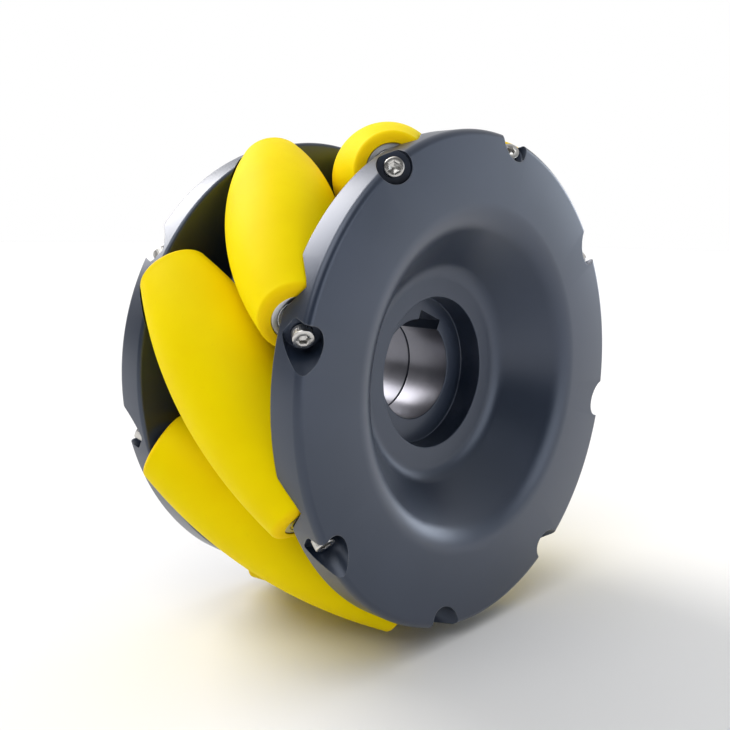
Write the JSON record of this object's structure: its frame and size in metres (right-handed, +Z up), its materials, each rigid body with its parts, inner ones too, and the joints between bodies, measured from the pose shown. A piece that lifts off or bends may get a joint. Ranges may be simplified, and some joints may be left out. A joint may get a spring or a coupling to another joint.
{
  "type": "mecanum wheel",
  "caption": "Omnidirectional wheel: dished side plates joined around a keyed bore carry yellow barrel rollers set at 45 degrees to the wheel's axis.",
  "frame": {"origin": "middle of the wheel, on its axis, half way between the outer faces of the two side plates", "axes": "+Y along the wheel's axis, from the outer side plate to the inner one; +Z up, through the middle of a roller; +X to the right seen from the outer side"},
  "size_m": [0.1524, 0.0784, 0.1524],
  "materials": {
    "plate": "bead-blasted, black anodised, satin",
    "tread": "cast polyurethane, matte with a soft sheen",
    "core": "turned",
    "bearing": "ground rings with a black seal",
    "axle": "ground",
    "screw": "stainless, satin"
  },
  "bodies": {
    "wheel": {"outer_plate": "plate", "inner_plate": "plate", "roller_axle_1": "axle", "outer_screw_1": "screw", "inner_screw_1": "screw", "roller_axle_2": "axle", "outer_screw_2": "screw", "inner_screw_2": "screw", "roller_axle_3": "axle", "outer_screw_3": "screw", "inner_screw_3": "screw", "roller_axle_4": "axle", "outer_screw_4": "screw", "inner_screw_4": "screw", "roller_axle_5": "axle", "outer_screw_5": "screw", "inner_screw_5": "screw", "roller_axle_6": "axle", "outer_screw_6": "screw", "inner_screw_6": "screw", "roller_axle_7": "axle", "outer_screw_7": "screw", "inner_screw_7": "screw", "roller_axle_8": "axle", "outer_screw_8": "screw", "inner_screw_8": "screw"},
    "roller_1": {"roller_tread_1": "tread", "roller_core_1": "core", "outer_bearing_1": "bearing", "inner_bearing_1": "bearing"},
    "roller_2": {"roller_tread_2": "tread", "roller_core_2": "core", "outer_bearing_2": "bearing", "inner_bearing_2": "bearing"},
    "roller_3": {"roller_tread_3": "tread", "roller_core_3": "core", "outer_bearing_3": "bearing", "inner_bearing_3": "bearing"},
    "roller_4": {"roller_tread_4": "tread", "roller_core_4": "core", "outer_bearing_4": "bearing", "inner_bearing_4": "bearing"},
    "roller_5": {"roller_tread_5": "tread", "roller_core_5": "core", "outer_bearing_5": "bearing", "inner_bearing_5": "bearing"},
    "roller_6": {"roller_tread_6": "tread", "roller_core_6": "core", "outer_bearing_6": "bearing", "inner_bearing_6": "bearing"},
    "roller_7": {"roller_tread_7": "tread", "roller_core_7": "core", "outer_bearing_7": "bearing", "inner_bearing_7": "bearing"},
    "roller_8": {"roller_tread_8": "tread", "roller_core_8": "core", "outer_bearing_8": "bearing", "inner_bearing_8": "bearing"}
  },
  "joints": [
    {"name": "roller_spin_1", "type": "hinge", "parent": "wheel", "child": "roller_1", "pos_m": [0.0594, 0, 0], "axis": [0, 0.7071, -0.7071], "continuous": true},
    {"name": "roller_spin_2", "type": "hinge", "parent": "wheel", "child": "roller_2", "pos_m": [0.042, 0, 0.042], "axis": [0.5, 0.7071, -0.5], "continuous": true},
    {"name": "roller_spin_3", "type": "hinge", "parent": "wheel", "child": "roller_3", "pos_m": [0, 0, 0.0594], "axis": [0.7071, 0.7071, 0], "continuous": true},
    {"name": "roller_spin_4", "type": "hinge", "parent": "wheel", "child": "roller_4", "pos_m": [-0.042, 0, 0.042], "axis": [0.5, 0.7071, 0.5], "continuous": true},
    {"name": "roller_spin_5", "type": "hinge", "parent": "wheel", "child": "roller_5", "pos_m": [-0.0594, 0, 0], "axis": [0, 0.7071, 0.7071], "continuous": true},
    {"name": "roller_spin_6", "type": "hinge", "parent": "wheel", "child": "roller_6", "pos_m": [-0.042, 0, -0.042], "axis": [-0.5, 0.7071, 0.5], "continuous": true},
    {"name": "roller_spin_7", "type": "hinge", "parent": "wheel", "child": "roller_7", "pos_m": [0, 0, -0.0594], "axis": [-0.7071, 0.7071, 0], "continuous": true},
    {"name": "roller_spin_8", "type": "hinge", "parent": "wheel", "child": "roller_8", "pos_m": [0.042, 0, -0.042], "axis": [-0.5, 0.7071, -0.5], "continuous": true}
  ]
}
